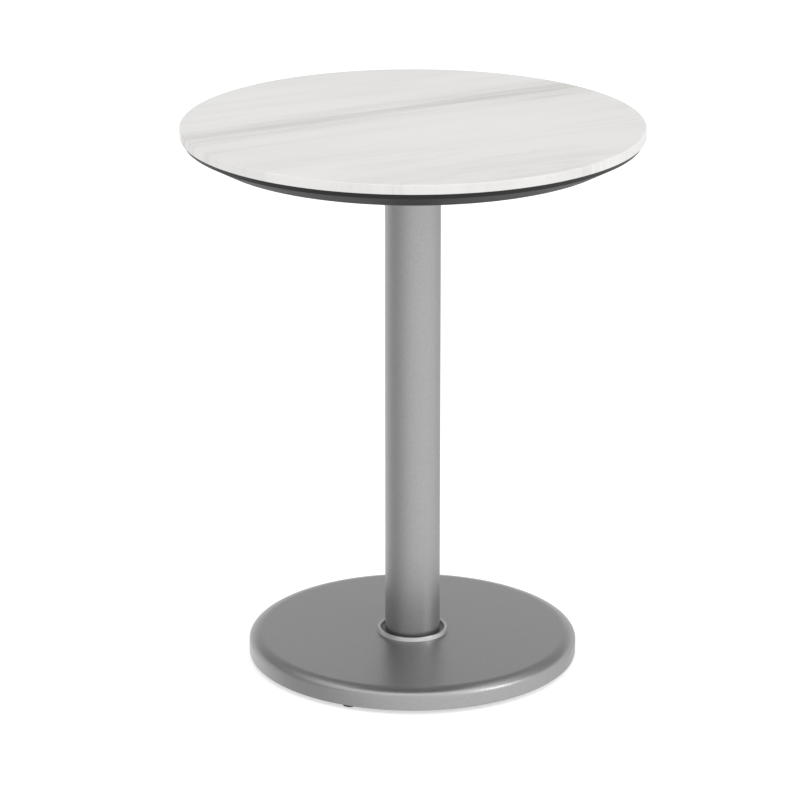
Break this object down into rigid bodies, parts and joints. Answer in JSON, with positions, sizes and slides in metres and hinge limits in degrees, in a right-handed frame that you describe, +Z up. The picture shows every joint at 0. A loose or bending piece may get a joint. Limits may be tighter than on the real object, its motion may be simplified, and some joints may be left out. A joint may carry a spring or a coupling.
{
  "type": "bistro table",
  "caption": "Round bistro table: marble-look top with a dark bevelled underside, plain silver tube column, soft-rimmed disc base and levelling feet.",
  "frame": {"origin": "on the floor, on the column's axis, under the middle of the table", "axes": "+Z up along the column; +X to the right and +Y away from someone standing in front of the table"},
  "size_m": [0.5999, 0.6, 0.73],
  "materials": {
    "marble_decor": "satin laminate with a pale marble pattern",
    "dark_core": "moulded wood particle board with a dark satin resin skin",
    "silver_coat": "fine silver metallic powder coat",
    "collar_coat": "silver metallic powder coat",
    "grey_coat": "fine grey metallic powder coat",
    "black_iron": "black dipped casting",
    "zinc_steel": "bright zinc plate",
    "brass": "turned brass",
    "foot_plastic": "black moulded nylon"
  },
  "bodies": {
    "table": {"top_decor": "marble_decor", "top_core": "dark_core", "threaded_inserts": "brass", "spider_screws": "zinc_steel", "spider": "black_iron", "column_tube": "silver_coat", "column_collar": "collar_coat", "centring_disc": "zinc_steel", "tie_rod": "zinc_steel", "upper_washer": "zinc_steel", "upper_nut": "zinc_steel", "lower_washer": "zinc_steel", "lower_nut": "zinc_steel", "base_cover": "grey_coat", "base_plate": "black_iron"},
    "foot_1": {"foot_pad_1": "foot_plastic"},
    "stem_1": {"foot_stem_1": "zinc_steel"},
    "foot_2": {"foot_pad_2": "foot_plastic"},
    "stem_2": {"foot_stem_2": "zinc_steel"},
    "foot_3": {"foot_pad_3": "foot_plastic"},
    "stem_3": {"foot_stem_3": "zinc_steel"},
    "foot_4": {"foot_pad_4": "foot_plastic"},
    "stem_4": {"foot_stem_4": "zinc_steel"}
  },
  "joints": [
    {"name": "foot_travel_1", "type": "slide", "parent": "table", "child": "foot_1", "axis": [0, 0, -1], "range_m": [-0.0015, 0.01]},
    {"name": "stem_turn_1", "type": "hinge", "parent": "foot_1", "child": "stem_1", "pos_m": [0.08175, 0.18362, 0.0036], "axis": [0, 0, -1], "range_deg": [-433, 2881]},
    {"name": "foot_travel_2", "type": "slide", "parent": "table", "child": "foot_2", "axis": [0, 0, -1], "range_m": [-0.0015, 0.01]},
    {"name": "stem_turn_2", "type": "hinge", "parent": "foot_2", "child": "stem_2", "pos_m": [-0.18362, 0.08175, 0.0036], "axis": [0, 0, -1], "range_deg": [-433, 2881]},
    {"name": "foot_travel_3", "type": "slide", "parent": "table", "child": "foot_3", "axis": [0, 0, -1], "range_m": [-0.0015, 0.01]},
    {"name": "stem_turn_3", "type": "hinge", "parent": "foot_3", "child": "stem_3", "pos_m": [-0.08175, -0.18362, 0.0036], "axis": [0, 0, -1], "range_deg": [-433, 2881]},
    {"name": "foot_travel_4", "type": "slide", "parent": "table", "child": "foot_4", "axis": [0, 0, -1], "range_m": [-0.0015, 0.01]},
    {"name": "stem_turn_4", "type": "hinge", "parent": "foot_4", "child": "stem_4", "pos_m": [0.18362, -0.08175, 0.0036], "axis": [0, 0, -1], "range_deg": [-433, 2881]}
  ],
  "couplings": [
    {"joint": "stem_turn_1", "follows": "foot_travel_1", "rad_per_m": 5026.5},
    {"joint": "stem_turn_2", "follows": "foot_travel_2", "rad_per_m": 5026.5},
    {"joint": "stem_turn_3", "follows": "foot_travel_3", "rad_per_m": 5026.5},
    {"joint": "stem_turn_4", "follows": "foot_travel_4", "rad_per_m": 5026.5}
  ]
}
